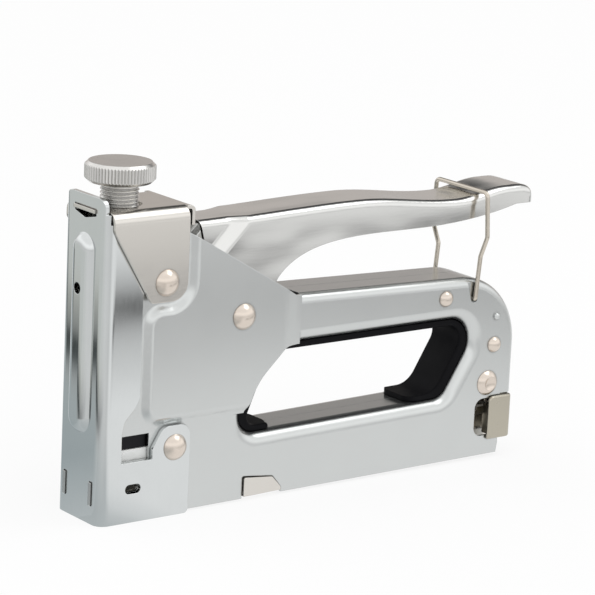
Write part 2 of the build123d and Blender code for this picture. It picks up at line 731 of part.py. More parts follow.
def nose_plate():
    """Sheet channel that wraps the front, with its rib, tab, slots and wings."""
    half = NOSE_HALF_WIDTH
    wall = NOSE_WALL
    outer = outline([
        (NOSE_FRONT_X, -half, NOSE_BEND), (FAR, -half, 0),
        (FAR, half, 0), (NOSE_FRONT_X, half, NOSE_BEND),
    ])
    inner = outline([
        (NOSE_INNER_X, wall - half, NOSE_BEND - wall), (2 * FAR, wall - half, 0),
        (2 * FAR, half - wall, 0), (NOSE_INNER_X, half - wall, NOSE_BEND - wall),
    ])
    plate = extrude(outer - inner, amount=NOSE_TOP_Z)
    plate &= side_prism(wing_corners(), WIDE)
    plate &= front_prism([
        (-WIDE, -1, 0), (WIDE, -1, 0), (WIDE, NOSE_SHOULDER_Z, 0),
        (NOSE_TAB_HALF, NOSE_SHOULDER_Z, 0), (NOSE_TAB_HALF, NOSE_TOP_Z, NOSE_TAB_R),
        (-NOSE_TAB_HALF, NOSE_TOP_Z, NOSE_TAB_R), (-NOSE_TAB_HALF, NOSE_SHOULDER_Z, 0),
        (-WIDE, NOSE_SHOULDER_Z, 0),
    ], -WIDE, FAR)
    rib = rib_form(0) & block(-WIDE, NOSE_INNER_X, -WIDE, WIDE, 0, NOSE_TOP_Z)
    plate = plate + rib - rib_form(wall)
    plate -= long_pin(0, RIB_HOLE_Z, RIB_HOLE_R, -WIDE, NOSE_BEND)
    slot_half = TONGUE_HALF_WIDTH + 0.2
    slot_low = TONGUE_BOTTOM_Z - TONGUE_SLOT_DROP
    plate -= front_prism([
        (-slot_half, TONGUE_BOTTOM_Z - 0.9, 0), (0, slot_low, 0), (slot_half, TONGUE_BOTTOM_Z - 0.9, 0),
        (slot_half, BRACKET_TOP_Z + 0.3, 0), (-slot_half, BRACKET_TOP_Z + 0.3, 0),
    ], -WIDE, NOSE_BEND)
    for side in (-1, 1):
        low_y = side * LUG_Y - LUG_WIDTH / 2 - LUG_GAP
        high_y = side * LUG_Y + LUG_WIDTH / 2 + LUG_GAP
        plate -= block(-WIDE, NOSE_BEND, low_y, high_y, LUG_BOTTOM_Z - LUG_GAP, LUG_TOP_Z + LUG_GAP)
    plate -= cross_pin(NOSE_RIVET_X, NOSE_RIVET_Z, BIG_RIVET_R, WIDE)
    plate -= cross_pin(BRACKET_RIVET_X, BRACKET_RIVET_Z, BIG_RIVET_R, WIDE)
    return plate - key_slot()


def top_bracket():
    """Saddle over the top of the nose, with a tongue in front and a lip behind."""
    half = BRACKET_HALF_WIDTH
    wall = BRACKET_WALL
    outer = [
        (-half, 0, 0), (half, 0, 0),
        (half, BRACKET_TOP_Z, BRACKET_BEND), (-half, BRACKET_TOP_Z, BRACKET_BEND),
    ]
    inner = [
        (wall - half, -1, 0), (half - wall, -1, 0),
        (half - wall, TONGUE_BOTTOM_Z, BRACKET_BEND - wall), (wall - half, TONGUE_BOTTOM_Z, BRACKET_BEND - wall),
    ]
    saddle = front_prism(outer, BRACKET_FRONT_X, BRACKET_REAR_X)
    saddle -= front_prism(inner, BRACKET_FRONT_X - 1, BRACKET_REAR_X + 1)
    saddle &= side_prism([
        (BRACKET_FOOT_X, BRACKET_BOTTOM_Z, 1.2), (BRACKET_REAR_X, BRACKET_BOTTOM_Z, BRACKET_FOOT_R),
        (BRACKET_REAR_X, BRACKET_TOP_Z + 1, 0), (BRACKET_FRONT_X, BRACKET_TOP_Z + 1, 0),
        (BRACKET_FRONT_X, BRACKET_SHOULDER_Z, 2.5),
    ], WIDE)
    saddle += block(
        NOSE_FRONT_X - TONGUE_REACH, BRACKET_FRONT_X, -TONGUE_HALF_WIDTH, TONGUE_HALF_WIDTH,
        TONGUE_BOTTOM_Z, BRACKET_TOP_Z)
    lip_x = BRACKET_REAR_X + LIP_REACH
    saddle += side_prism([
        (lip_x - wall, LIP_BOTTOM_Z, 0), (lip_x, LIP_BOTTOM_Z, 0), (lip_x, BRACKET_TOP_Z, LIP_BEND),
        (BRACKET_REAR_X, BRACKET_TOP_Z, 0), (BRACKET_REAR_X, TONGUE_BOTTOM_Z, 0),
        (lip_x - wall, TONGUE_BOTTOM_Z, LIP_BEND - wall),
    ], LIP_HALF_WIDTH)
    saddle -= post(KNOB_X, SCREW_RADIUS + BUSH_HOLE_GAP, TONGUE_BOTTOM_Z - 1, BRACKET_TOP_Z + 1)
    return saddle - cross_pin(BRACKET_RIVET_X, BRACKET_RIVET_Z, BIG_RIVET_R, WIDE)


def screw_bush():
    """Threaded bush under the bracket's top."""
    bush = post(KNOB_X, BUSH_RADIUS, BUSH_BOTTOM_Z, TONGUE_BOTTOM_Z)
    return bush - post(KNOB_X, SCREW_RADIUS + RUN_CLEAR, BUSH_BOTTOM_Z - 1, TONGUE_BOTTOM_Z + 1)


def tension_knob():
    """Knurled head on a threaded shank; the thread is drawn as rings."""
    points = []
    for i in range(2 * KNURL_COUNT):
        angle = math.pi * i / KNURL_COUNT
        radius = KNOB_RADIUS - (i % 2) * KNURL_DEPTH
        points.append((radius * math.cos(angle), radius * math.sin(angle)))
    head = extrude(make_face(Polyline(*points, close=True)), amount=KNOB_TOP_Z - KNOB_BOTTOM_Z)
    height = KNOB_TOP_Z - KNOB_BOTTOM_Z
    rim = KNOB_RADIUS - KNOB_CHAMFER
    turned = make_face(Polyline(
        (0, 0), (rim, 0), (KNOB_RADIUS, KNOB_CHAMFER), (KNOB_RADIUS, height - KNOB_CHAMFER),
        (rim, height), (0, height), close=True))
    head &= revolve(Plane.XZ * turned, Axis.Z)
    shank_length = KNOB_BOTTOM_Z - SCREW_END_Z
    root = SCREW_RADIUS - THREAD_DEPTH
    profile = [(0, shank_length), (root, shank_length)]
    rings = int((shank_length - THREAD_PITCH) / THREAD_PITCH)
    for ring in range(rings):
        top = shank_length - THREAD_PITCH * (ring + 0.5)
        profile += [(SCREW_RADIUS, top - THREAD_PITCH * 0.4), (SCREW_RADIUS, top - THREAD_PITCH * 0.5)]
        profile += [(root, top - THREAD_PITCH * 0.9), (root, top - THREAD_PITCH)]
    profile += [(root, 0), (0, 0)]
    shank = revolve(Plane.XZ * make_face(Polyline(*profile, close=True)), Axis.Z)
    knob = Pos(KNOB_X, 0, KNOB_BOTTOM_Z) * head + Pos(KNOB_X, 0, SCREW_END_Z) * shank
    return knob + post(KNOB_X, SPIGOT_RADIUS, SCREW_END_Z - SPIGOT_LENGTH, SCREW_END_Z)


def spring_seat():
    """Cup that the screw turns in and the drive spring bears on."""
    seat = post(KNOB_X, SEAT_RADIUS, SEAT_BOTTOM_Z, SEAT_TOP_Z)
    socket_z = SCREW_END_Z - SPIGOT_LENGTH - SLIDE_CLEAR
    return seat - post(KNOB_X, SPIGOT_RADIUS + RUN_CLEAR, socket_z, SEAT_TOP_Z + 1)


def drive_spring():
    """Coil between the hammer and the seat."""
    low = HAMMER_TOP_Z + SLIDE_CLEAR
    length = SEAT_BOTTOM_Z - SLIDE_CLEAR - low
    return Pos(KNOB_X, 0, low) * coil(SPRING_MEAN_RADIUS, SPRING_WIRE, length, SPRING_TURNS)


def hammer_block():
    """Striker with a pocket for the lifter and a spigot for the spring."""
    striker = block(
        BLADE_REAR_X, HAMMER_REAR_X, -HAMMER_HALF_WIDTH, HAMMER_HALF_WIDTH, HAMMER_BOTTOM_Z, HAMMER_TOP_Z)
    spigot_r = SPRING_MEAN_RADIUS - SPRING_WIRE / 2 - SLIDE_CLEAR
    striker += post(KNOB_X, spigot_r, HAMMER_TOP_Z, HAMMER_TOP_Z + HAMMER_SPIGOT_LENGTH)
    tip_shift = lifter_tip_shift()
    pocket_front = LIFTER_TIP_X - LIFTER_TIP_R - tip_shift - SLIDE_CLEAR
    pocket_half = LIFTER_HALF_WIDTH + SLIDE_CLEAR
    pocket_rise = LIFTER_TIP_R + 2 * SLIDE_CLEAR
    mouth_rise = pocket_rise + (HAMMER_REAR_X - LIFTER_TIP_X) * 0.6
    striker -= side_prism([
        (pocket_front, LIFTER_TIP_Z - pocket_rise, 0), (LIFTER_TIP_X, LIFTER_TIP_Z - pocket_rise, 0),
        (HAMMER_REAR_X + 1, LIFTER_TIP_Z - mouth_rise, 0), (HAMMER_REAR_X + 1, LIFTER_TIP_Z + mouth_rise, 0),
        (LIFTER_TIP_X, LIFTER_TIP_Z + pocket_rise, 0), (pocket_front, LIFTER_TIP_Z + pocket_rise, 0),
    ], pocket_half)
    return striker - blade_rivets()


def lifter_tip_shift():
    """How far the lifter's tip moves forward over a full squeeze."""
    turn = math.radians(SQUEEZE_DEG)
    reach = PIVOT_X - LIFTER_TIP_X
    drop = PIVOT_Z - LIFTER_TIP_Z
    return max(drop * math.sin(turn) - reach * (1 - math.cos(turn)), 0.0)


def blade_rivets():
    """Two rivets that hold the blade on the hammer."""
    rivets = [
        long_pin(0, z, BLADE_RIVET_RADIUS, BLADE_FRONT_X, BLADE_REAR_X + BLADE_RIVET_LENGTH)
        for z in BLADE_RIVET_Z
    ]
    return Compound(rivets)


def driver_blade():
    """Flat blade that drives the staple down the front wall."""
    blade = block(
        BLADE_FRONT_X, BLADE_REAR_X, -BLADE_HALF_WIDTH, BLADE_HALF_WIDTH, BLADE_TIP_Z, BLADE_TOP_Z)
    return blade - blade_rivets()


def hammer_bumper():
    """Pad that stops the hammer above the guide."""
    return block(GUIDE_FRONT_X, BUMPER_REAR_X, -INSIDE_HALF, INSIDE_HALF, BUMPER_BOTTOM_Z, BUMPER_TOP_Z)


def nose_guide():
    """Cheeks that guide the staples to the blade, with two lugs in the front wall's slits."""
    guide = block(GUIDE_FRONT_X, GUIDE_REAR_X, -INSIDE_HALF, INSIDE_HALF, CHANNEL_BOTTOM_Z, GUIDE_TOP_Z)
    guide -= block(
        GUIDE_FRONT_X - 1, GUIDE_REAR_X + 1, -CHANNEL_INNER_HALF, CHANNEL_INNER_HALF,
        CHANNEL_BOTTOM_Z - 1, CHANNEL_TOP_Z)
    for side in (-1, 1):
        low_y = side * LUG_Y - LUG_WIDTH / 2
        high_y = side * LUG_Y + LUG_WIDTH / 2
        guide += block(NOSE_FRONT_X - LUG_PROUD, GUIDE_FRONT_X, low_y, high_y, LUG_BOTTOM_Z, LUG_TOP_Z)
    return guide - key_slot()


def magazine_channel():
    """Staple channel along the foot, with an ear in the notch of each shell."""
    front = GUIDE_REAR_X
    half = CHANNEL_HALF_WIDTH
    channel = block(front, CHANNEL_REAR_X, -half, half, CHANNEL_BOTTOM_Z, CHANNEL_TOP_Z)
    channel -= block(
        front - 1, CHANNEL_REAR_X + 1, -CHANNEL_INNER_HALF, CHANNEL_INNER_HALF,
        CHANNEL_FLOOR_Z, CHANNEL_TOP_Z + 1)
    outer_front = SHELL_HALF_WIDTH + TAB_PROUD
    outer_rear = SHELL_HALF_WIDTH + SHEET_GAP
    wall = CHANNEL_WALL
    for side in (-1, 1):
        plan = [
            (TAB_FRONT_X, outer_front - wall), (TAB_REAR_X, outer_rear - wall),
            (TAB_REAR_X, outer_rear), (TAB_FRONT_X, outer_front),
        ]
        ear = make_face(Polyline(*[(x, side * y) for x, y in plan], close=True))
        ear = Pos(0, 0, CHANNEL_BOTTOM_Z) * extrude(ear, amount=TAB_TOP_Z - CHANNEL_BOTTOM_Z, dir=(0, 0, 1))
        ear &= side_prism(tab_corners(0, 0), WIDE)
        foot_plan = [
            (TAB_FRONT_X, half - wall), (TAB_REAR_X, half - wall),
            (TAB_REAR_X, outer_rear - wall / 2), (TAB_FRONT_X, outer_front - wall / 2),
        ]
        foot = make_face(Polyline(*[(x, side * y) for x, y in foot_plan], close=True))
        foot = Pos(0, 0, CHANNEL_BOTTOM_Z) * extrude(foot, amount=wall, dir=(0, 0, 1))
        channel += foot + ear
    return channel


def staple_rail():
    """Inverted channel that the staples straddle."""
    rail = block(
        GUIDE_REAR_X, CHANNEL_REAR_X, -RAIL_HALF_WIDTH, RAIL_HALF_WIDTH, CHANNEL_FLOOR_Z, RAIL_TOP_Z)
    inner = RAIL_HALF_WIDTH - RAIL_WALL
    return rail - block(
        GUIDE_REAR_X - 1, CHANNEL_REAR_X + 1, -inner, inner, CHANNEL_FLOOR_Z - 1, RAIL_TOP_Z - RAIL_WALL)


def pusher_block():
    """Saddle on the rail that pushes the staples forward, with a bored head on the rod."""
    x0 = PUSHER_FRONT_X
    x1 = PUSHER_FRONT_X + PUSHER_LENGTH
    half = CHANNEL_INNER_HALF - SLIDE_CLEAR
    saddle = block(x0, x1, -half, half, CHANNEL_FLOOR_Z + SLIDE_CLEAR, PUSHER_SADDLE_TOP_Z)
    slot = RAIL_HALF_WIDTH + SLIDE_CLEAR
    saddle -= block(x0 - 1, x1 + 1, -slot, slot, 0, RAIL_TOP_Z + SLIDE_CLEAR)
    saddle += block(x0, x1, -PUSHER_HEAD_HALF, PUSHER_HEAD_HALF, PUSHER_SADDLE_TOP_Z, PUSHER_HEAD_TOP_Z)
    return saddle - long_pin(0, ROD_Z, ROD_RADIUS + RUN_CLEAR, x0 - 1, x1 + 1)


def pusher_rod():
    """Rod from the catch through the pusher."""
    return long_pin(0, ROD_Z, ROD_RADIUS, PUSHER_FRONT_X - 1, CATCH_WEB_X + CATCH_WALL)


def pusher_spring():
    """Coil on the rod between the pusher and the catch."""
    low = PUSHER_FRONT_X + PUSHER_LENGTH + SLIDE_CLEAR
    length = CATCH_WEB_X - SLIDE_CLEAR - low
    return Pos(low, 0, ROD_Z) * Rot(0, 90, 0) * coil(PUSH_MEAN_RADIUS, PUSH_WIRE, length, PUSH_TURNS)


def rear_catch():
    """Bent plate behind the shells, pinched by its two legs to draw the pusher out."""
    x1 = CATCH_WEB_X + CATCH_WALL
    lip_y = CATCH_INNER_HALF - CATCH_LIP
    outer = outline([
        (CATCH_FRONT_X, -CATCH_HALF_WIDTH, 0), (x1, -CATCH_HALF_WIDTH, CATCH_CORNER_R),
        (x1, CATCH_HALF_WIDTH, CATCH_CORNER_R), (CATCH_FRONT_X, CATCH_HALF_WIDTH, 0),
    ])
    inner_r = CATCH_CORNER_R - CATCH_WALL
    inner = outline([
        (CATCH_FRONT_X - 1, -CATCH_INNER_HALF, 0), (CATCH_WEB_X, -CATCH_INNER_HALF, inner_r),
        (CATCH_WEB_X, CATCH_INNER_HALF, inner_r), (CATCH_FRONT_X - 1, CATCH_INNER_HALF, 0),
    ])
    plate = Pos(0, 0, CATCH_BOTTOM_Z) * extrude(outer - inner, amount=CATCH_TOP_Z - CATCH_BOTTOM_Z)
    plate &= side_prism([
        (CATCH_FRONT_X, CATCH_BOTTOM_Z, 0.6), (x1 + 1, CATCH_BOTTOM_Z, 0),
        (x1 + 1, CATCH_TOP_Z, 0), (CATCH_FRONT_X, CATCH_TOP_Z, CATCH_CORNER_R),
    ], WIDE)
    for side in (-1, 1):
        plate += block(
            CATCH_FRONT_X, CATCH_FRONT_X + CATCH_WALL, *sorted((side * CATCH_HALF_WIDTH, side * lip_y)),
            RECESS_BOTTOM_Z + CATCH_LIP_GAP, RECESS_TOP_Z - CATCH_CORNER_R)
    front = [
        edge for edge in plate.edges().filter_by(Axis.Z)
        if abs(edge.center().X - CATCH_FRONT_X) < 1e-3
        and abs(abs(edge.center().Y) - CATCH_HALF_WIDTH) < 1e-3
    ]
    plate = fillet(front, CATCH_LIP_R)
    return plate - long_pin(0, ROD_Z, ROD_RADIUS, CATCH_WEB_X - 1, x1 + 1)


def liner_mouth():
    """Inner outline of the liner, lowered to a thin floor along the lower rail."""
    mouth = []
    for i, (x, z, radius) in enumerate(inset(window_corners(), LINER_FIT + LINER_THICKNESS)):
        back = LINER_FRONT - LINER_THICKNESS if i in (0, 3, 4) else 0.0
        lift = LINER_THICKNESS - LINER_TOP if i in (2, 3) else 0.0
        mouth.append((x + back, z + lift, radius))
    drop = LINER_THICKNESS - LINER_FLOOR
    lowered = []
    for corner, upper, radius in ((0, -1, mouth[0][2]), (1, 2, LINER_REAR_R)):
        x, z, _ = mouth[corner]
        lean = (mouth[upper][0] - x) / (mouth[upper][1] - z)
        lowered.append((x - drop * lean, z - drop, radius))
    return lowered + mouth[2:]


def window_liner():
    """Moulded strip round the front, the top and the rear of the hand window."""
    inner = liner_mouth()
    frame = [
        (0, 0, 0), (SHELL_REAR_X, 0, 0), (SHELL_REAR_X, RAIL_FRONT_Z, 0), (0, RAIL_FRONT_Z, 0),
    ]
    strip = side_prism(frame, LINER_HALF_WIDTH) - side_prism(inner, WIDE)
    mouth = [
        edge for edge in strip.edges()
        if abs(abs(edge.center().Y) - LINER_HALF_WIDTH) < 1e-3 and in_window_box(edge.center(), inner)
    ]
    strip = fillet(mouth, LINER_EDGE_R)
    strip &= side_prism(inset(window_corners(), LINER_FIT), WIDE)
    gap_top = WINDOW_REAR_BOTTOM_Z + 2 * LINER_THICKNESS
    gap = block(LINER_FRONT_END_X - 1, LINER_REAR_END_X + LINER_REAR_END_R, -WIDE, WIDE, 0, gap_top)
    ends = ((LINER_FRONT_END_X, -1, LINER_FRONT_END_R), (LINER_REAR_END_X, 1, LINER_REAR_END_R))
    for end_x, way, radius in ends:
        half = LINER_HALF_WIDTH
        tongue = [(end_x, -half, radius), (end_x, half, radius)]
        tongue += [(end_x + way * 3 * half, half, 0), (end_x + way * 3 * half, -half, 0)]
        gap -= extrude(outline(tongue), amount=gap_top, dir=(0, 0, 1))
    return strip - gap


def handle_curve(drop):
    """Top line of the handle from the front to the tip, lowered by a wall."""
    front = Vector(HANDLE_FRONT_X, HANDLE_FRONT_Z - drop)
    crest = Vector(HANDLE_CREST_X, HANDLE_CREST_Z - drop)
    saddle = Vector(HANDLE_SADDLE_X, HANDLE_SADDLE_Z - drop)
    lip = Vector(HANDLE_LIP_X, HANDLE_LIP_Z - drop)
    tip = Vector(HANDLE_TIP_X - drop, HANDLE_TIP_Z - drop / 2)
    level = Vector(1, 0)
    return [
        Spline(front, crest, tangents=(level, level)).edge(),
        Spline(crest, saddle, tangents=(level, level)).edge(),
        Spline(saddle, lip, tangents=(level, level)).edge(),
        Spline(lip, tip, tangents=(level, Vector(0, -1))).edge(),
    ]


def handle_side():
    """Side outline of the handle with the webs that reach the pivot."""
    tip_low = Vector(HANDLE_TIP_X, HANDLE_TIP_BOTTOM_Z)
    heel = Vector(HANDLE_LIP_X + 3, HANDLE_TIP_BOTTOM_Z)
    belly = Vector(HANDLE_BELLY_X, HANDLE_BELLY_Z)
    root = Vector(HANDLE_ROOT_X, HANDLE_ROOT_Z)
    chin = Vector(HANDLE_CHIN_X, HANDLE_CHIN_Z)
    behind = Vector(PIVOT_X + HANDLE_LOBE_R, PIVOT_Z)
    below = Vector(PIVOT_X, PIVOT_Z - HANDLE_LOBE_R)
    before = Vector(PIVOT_X - HANDLE_LOBE_R, PIVOT_Z)
    top = handle_curve(0)
    edges = top + [
        Edge.make_line(top[-1] @ 1, tip_low),
        Edge.make_line(tip_low, heel),
        Spline(heel, belly, tangents=(Vector(-1, -0.25), Vector(-1, 0))).edge(),
        Spline(belly, root, tangents=(Vector(-1, 0), Vector(-1, -1.2))).edge(),
        Edge.make_line(root, behind),
        Edge.make_three_point_arc(behind, below, before),
        Edge.make_line(before, chin),
        Edge.make_line(chin, top[0] @ 0),
    ]
    return make_face(edges)


def handle_hollow():
    """Side outline of the space under the handle's top wall, open below and in front."""
    top = handle_curve(HANDLE_WALL)
    start = top[0] @ 0
    stop = top[-1] @ 1
    edges = top + [
        Edge.make_line(stop, Vector(stop.X, 0)),
        Edge.make_line(Vector(stop.X, 0), Vector(0, 0)),
        Edge.make_line(Vector(0, 0), Vector(0, start.Y)),
        Edge.make_line(Vector(0, start.Y), start),
    ]
    return make_face(edges)


def handle_plan(wall):
    """Upright block with a narrow neck that widens along lines leaning back at 45 degrees."""
    neck = HANDLE_NECK_HALF - wall
    wide = HANDLE_HALF_WIDTH - wall
    neck_x = HANDLE_NECK_X - HANDLE_FLARE_Z
    shoulder_x = HANDLE_SHOULDER_X - HANDLE_FLARE_Z
    bend = HANDLE_FLARE_R
    plan = outline([
        (-FAR, -neck, 0), (neck_x, -neck, bend), (shoulder_x, -wide, bend), (FAR, -wide, 0),
        (FAR, wide, 0), (shoulder_x, wide, bend), (neck_x, neck, bend), (-FAR, neck, 0),
    ])
    return extrude(plan, amount=KNOB_TOP_Z * math.sqrt(2), dir=(1, 0, 1))


def handle_lever():
    """Pressed channel lever: top wall and two webs on the pivot pin."""
    solid = extrude(Plane.XZ * handle_side(), amount=WIDE, both=True) & handle_plan(0)
    ridge = [
        edge for edge in solid.edges().filter_by(GeomType.BSPLINE)
        if edge.center().Z > HANDLE_SADDLE_Z - 1 and abs(edge.center().Y) > HANDLE_NECK_HALF - 0.5
    ]
    solid = fillet(ridge, HANDLE_EDGE_R)
    hollow = extrude(Plane.XZ * handle_hollow(), amount=WIDE, both=True)
    hollow &= handle_plan(HANDLE_WALL)
    lever = solid - hollow
    lever -= cross_pin(PIVOT_X, PIVOT_Z, PIVOT_PIN_R + RUN_CLEAR, WIDE)
    return lever - cross_pin(PIVOT_X + LIFTER_PIN_DX, PIVOT_Z + LIFTER_PIN_DZ, LIFTER_PIN_R, WIDE)


def lifter_arm():
    """Plate inside the lever that reaches into the hammer's pocket."""
    spots = [
        (PIVOT_X, PIVOT_Z, LIFTER_HUB_R),
        (PIVOT_X + LIFTER_PIN_DX, PIVOT_Z + LIFTER_PIN_DZ, LIFTER_LOBE_R),
    ]
    tip = (LIFTER_TIP_X, LIFTER_TIP_Z, LIFTER_TIP_R)
    plate = Plane.XZ * make_hull(round_edges(spots)) + Plane.XZ * make_hull(round_edges([spots[0], tip]))
    arm = extrude(plate, amount=LIFTER_HALF_WIDTH, both=True)
    arm -= cross_pin(PIVOT_X, PIVOT_Z, PIVOT_PIN_R + RUN_CLEAR, WIDE)
    return arm - cross_pin(PIVOT_X + LIFTER_PIN_DX, PIVOT_Z + LIFTER_PIN_DZ, LIFTER_PIN_R, WIDE)


def round_edges(spots):
    """Circles at the given places, for a hull round them."""
    return [edge for x, z, radius in spots for edge in (Pos(x, z) * Circle(radius)).edges()]


def lifter_pin():
    """Pin that locks the lifter to the lever's webs."""
    return cross_pin(PIVOT_X + LIFTER_PIN_DX, PIVOT_Z + LIFTER_PIN_DZ, LIFTER_PIN_R, HANDLE_NECK_HALF)


def wire_latch():
    """Bail of bent wire whose ends turn in the shells and whose crossbar holds the handle down."""
    arm_y = LATCH_ARM_Y
    wide_y = LATCH_ARM_Y + LATCH_KINK_OUT
    end_y = SHELL_HALF_WIDTH - LATCH_HOOK
    top_z = handle_top_at(LATCH_X + LATCH_TOP_X) + LATCH_REST_GAP + LATCH_WIRE_R
    near = [
        (LATCH_X, -end_y, LATCH_Z),
        (LATCH_X, -arm_y, LATCH_Z),
        (LATCH_X + LATCH_LEAN_X, -arm_y, LATCH_Z + LATCH_KINK_LOW_Z),
        (LATCH_X + LATCH_KINK_X, -wide_y, LATCH_Z + LATCH_KINK_HIGH_Z),
        (LATCH_X + LATCH_TOP_X, LATCH_TOP_IN - wide_y, top_z),
    ]
    points = near + [(x, -y, z) for x, y, z in reversed(near)]
    hook_bend = LATCH_ARM_Y - LATCH_BED_Y - RUN_CLEAR
    bends = [hook_bend] + [LATCH_BEND] * (len(points) - 4) + [hook_bend]
    path = FilletPolyline(*points, radius=bends)
    section = Plane(origin=points[0], z_dir=path % 0) * Circle(LATCH_WIRE_R)
    return sweep(section, path=path)


def handle_top_at(x):
    """Height of the handle's top line at a place along the tool."""
    points = [spline @ (k / 100) for spline in handle_curve(0) for k in range(101)]
    return min(points, key=lambda point: abs(point.X - x)).Y


def dished_rivet():
    """Rivet whose heads are rims round a shallow dish."""
    tube = rivet(TUBE_RIVET_X, TUBE_RIVET_Z, TUBE_RIVET_R, TUBE_HEAD_R, TUBE_HEAD_H, SHELL_HALF_WIDTH)
    ball = (TUBE_DISH_R ** 2 + TUBE_DISH_DEPTH ** 2) / (2 * TUBE_DISH_DEPTH)
    out = SHELL_HALF_WIDTH + TUBE_HEAD_H - TUBE_DISH_DEPTH + ball
    for side in (-1, 1):
        tube -= Pos(TUBE_RIVET_X, side * out, TUBE_RIVET_Z) * Sphere(ball)
    rim = [
        edge for edge in tube.edges().filter_by(GeomType.CIRCLE)
        if edge.radius < TUBE_DISH_R and abs(edge.center().Y) > SHELL_HALF_WIDTH + TUBE_RIM_R
    ]
    return fillet(rim, TUBE_RIM_R)


def rivets_and_pins():
    """Every rivet and pin that holds the shells, the nose and the bracket together."""
    bracket = rivet(
        BRACKET_RIVET_X, BRACKET_RIVET_Z, BIG_RIVET_R, BIG_HEAD_R, BIG_HEAD_H, BRACKET_HALF_WIDTH)
    nose = rivet(NOSE_RIVET_X, NOSE_RIVET_Z, BIG_RIVET_R, BIG_HEAD_R, BIG_HEAD_H, NOSE_HALF_WIDTH)
    pivot = rivet(PIVOT_X, PIVOT_Z, PIVOT_PIN_R, BIG_HEAD_R, BIG_HEAD_H, PANEL_HALF_WIDTH)
    rail = Compound([
        rivet(x, z, SMALL_RIVET_R, SMALL_HEAD_R, SMALL_HEAD_H, SHELL_HALF_WIDTH) for x, z in RAIL_RIVETS
    ])
    tube = dished_rivet()
    return {
        "bracket_rivet": bracket,
        "nose_rivet": nose,
        "handle_pivot_pin": pivot,
        "rail_rivets": rail,
        "tubular_rivet": tube,
    }


def build():
    """Every piece by its name."""
    pair = shell_pair()
    pieces = {
        "left_shell": half_shell(pair, -1),
        "right_shell": half_shell(pair, 1),
        "nose_plate": nose_plate(),
        "top_bracket": top_bracket(),
        "screw_bush": screw_bush(),
        "window_liner": window_liner(),
        "nose_guide": nose_guide(),
        "hammer_bumper": hammer_bumper(),
        "magazine_channel": magazine_channel(),
        "staple_rail": staple_rail(),
        "drive_spring": drive_spring(),
        "handle_lever": handle_lever(),
        "lifter_arm": lifter_arm(),
        "lifter_pin": lifter_pin(),
        "hammer_block": hammer_block(),
        "driver_blade": driver_blade(),
        "blade_rivets": blade_rivets(),
        "spring_seat": spring_seat(),
        "tension_knob": tension_knob(),
        "wire_latch": wire_latch(),
        "rear_catch": rear_catch(),
        "pusher_rod": pusher_rod(),
        "pusher_spring": pusher_spring(),
        "pusher_block": pusher_block(),
    }
    pieces.update(rivets_and_pins())
    return pieces


os.makedirs("parts", exist_ok=True)
for name, shape in build().items():
    export_step(shape, f"parts/{name}.step")
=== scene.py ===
import json
import math

import bpy
from mathutils import Matrix, Vector

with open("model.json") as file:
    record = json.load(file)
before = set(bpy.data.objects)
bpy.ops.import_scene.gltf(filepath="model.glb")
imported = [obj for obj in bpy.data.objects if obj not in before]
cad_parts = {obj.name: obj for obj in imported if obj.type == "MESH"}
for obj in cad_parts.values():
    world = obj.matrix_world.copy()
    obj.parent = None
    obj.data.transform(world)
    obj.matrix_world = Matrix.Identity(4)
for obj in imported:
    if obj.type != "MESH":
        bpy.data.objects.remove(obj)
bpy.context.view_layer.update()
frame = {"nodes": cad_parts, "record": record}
nodes = frame["nodes"]

# Camera: fitted to the photograph, in degrees, metres and pixels of a 595 pixel frame
AZIMUTH = -37.2179
ELEVATION = 13.6839
ROLL = 2.7109
DISTANCE = 0.97475
AIM_ACROSS = 0.071583
AIM_UP = 0.071428
AIM_SHIFT_X = -0.0005
FOCAL_PX = 3000.0
FRAME_PX = 595.0
SENSOR_MM = 36.0
CLIP_NEAR = 0.01
CLIP_FAR = 50.0

# Sockets of the colour mix node
MIX_FACTOR = 0
MIX_A = 6
MIX_B = 7
MIX_RESULT = 2

# Softened edges, shared by all finishes
BEVEL_SAMPLES = 6
EDGE_FLAT = 0.995         # agreement of true and softened normal on a flat
EDGE_SHARP = 0.85         # and on a fully sharp edge
TONE_LOW = 0.3            # span of a noise that covers the full change of roughness
TONE_HIGH = 0.7

# Detail and roughness of each noise
CLOUD_NOISE = (4.0, 0.6)
STREAK_NOISE = (2.0, 0.6)
RIPPLE_NOISE = (1.0, 0.4)
FINE_NOISE = (3.0, 0.55)
MARK_NOISE = (4.0, 0.6)

# Plated metal
CLOUD_SHARE = 0.65
STREAK_SHARE = 0.35
RUB_GAIN = 6.0            # rubbed colour, as a multiple of the rubbed roughness
RUBBED_TONE = 1.12
GRAIN_DEPTH = 0.0004
RIPPLE_SCALE = 60.0
RIPPLE_LAY = (0.5, 1.0, 1.0)
RIPPLE_DEPTH = 0.002
# Painted shade: the colour is darkened by ambient occlusion in grooves and along the foot of parts
PAINTED_SHADE_REACH = 0.0009
PAINTED_SHADE_SAMPLES = 8
PAINTED_SHADE_FULL = 0.45         # share of open air at which the painted shade is full
PAINTED_SHADE_NONE = 0.95         # and gone
ALONG = (0.12, 1.0, 1.0)
UPRIGHT = (1.0, 1.0, 0.12)

# Moulded plastic
MARK_SCALE = 90.0
MARK_DARK = 0.85
MARK_LIGHT = 1.25
MARK_SMOOTHER = 0.07
MARK_DULLER = 0.08
MOULD_DEPTH = 0.0003

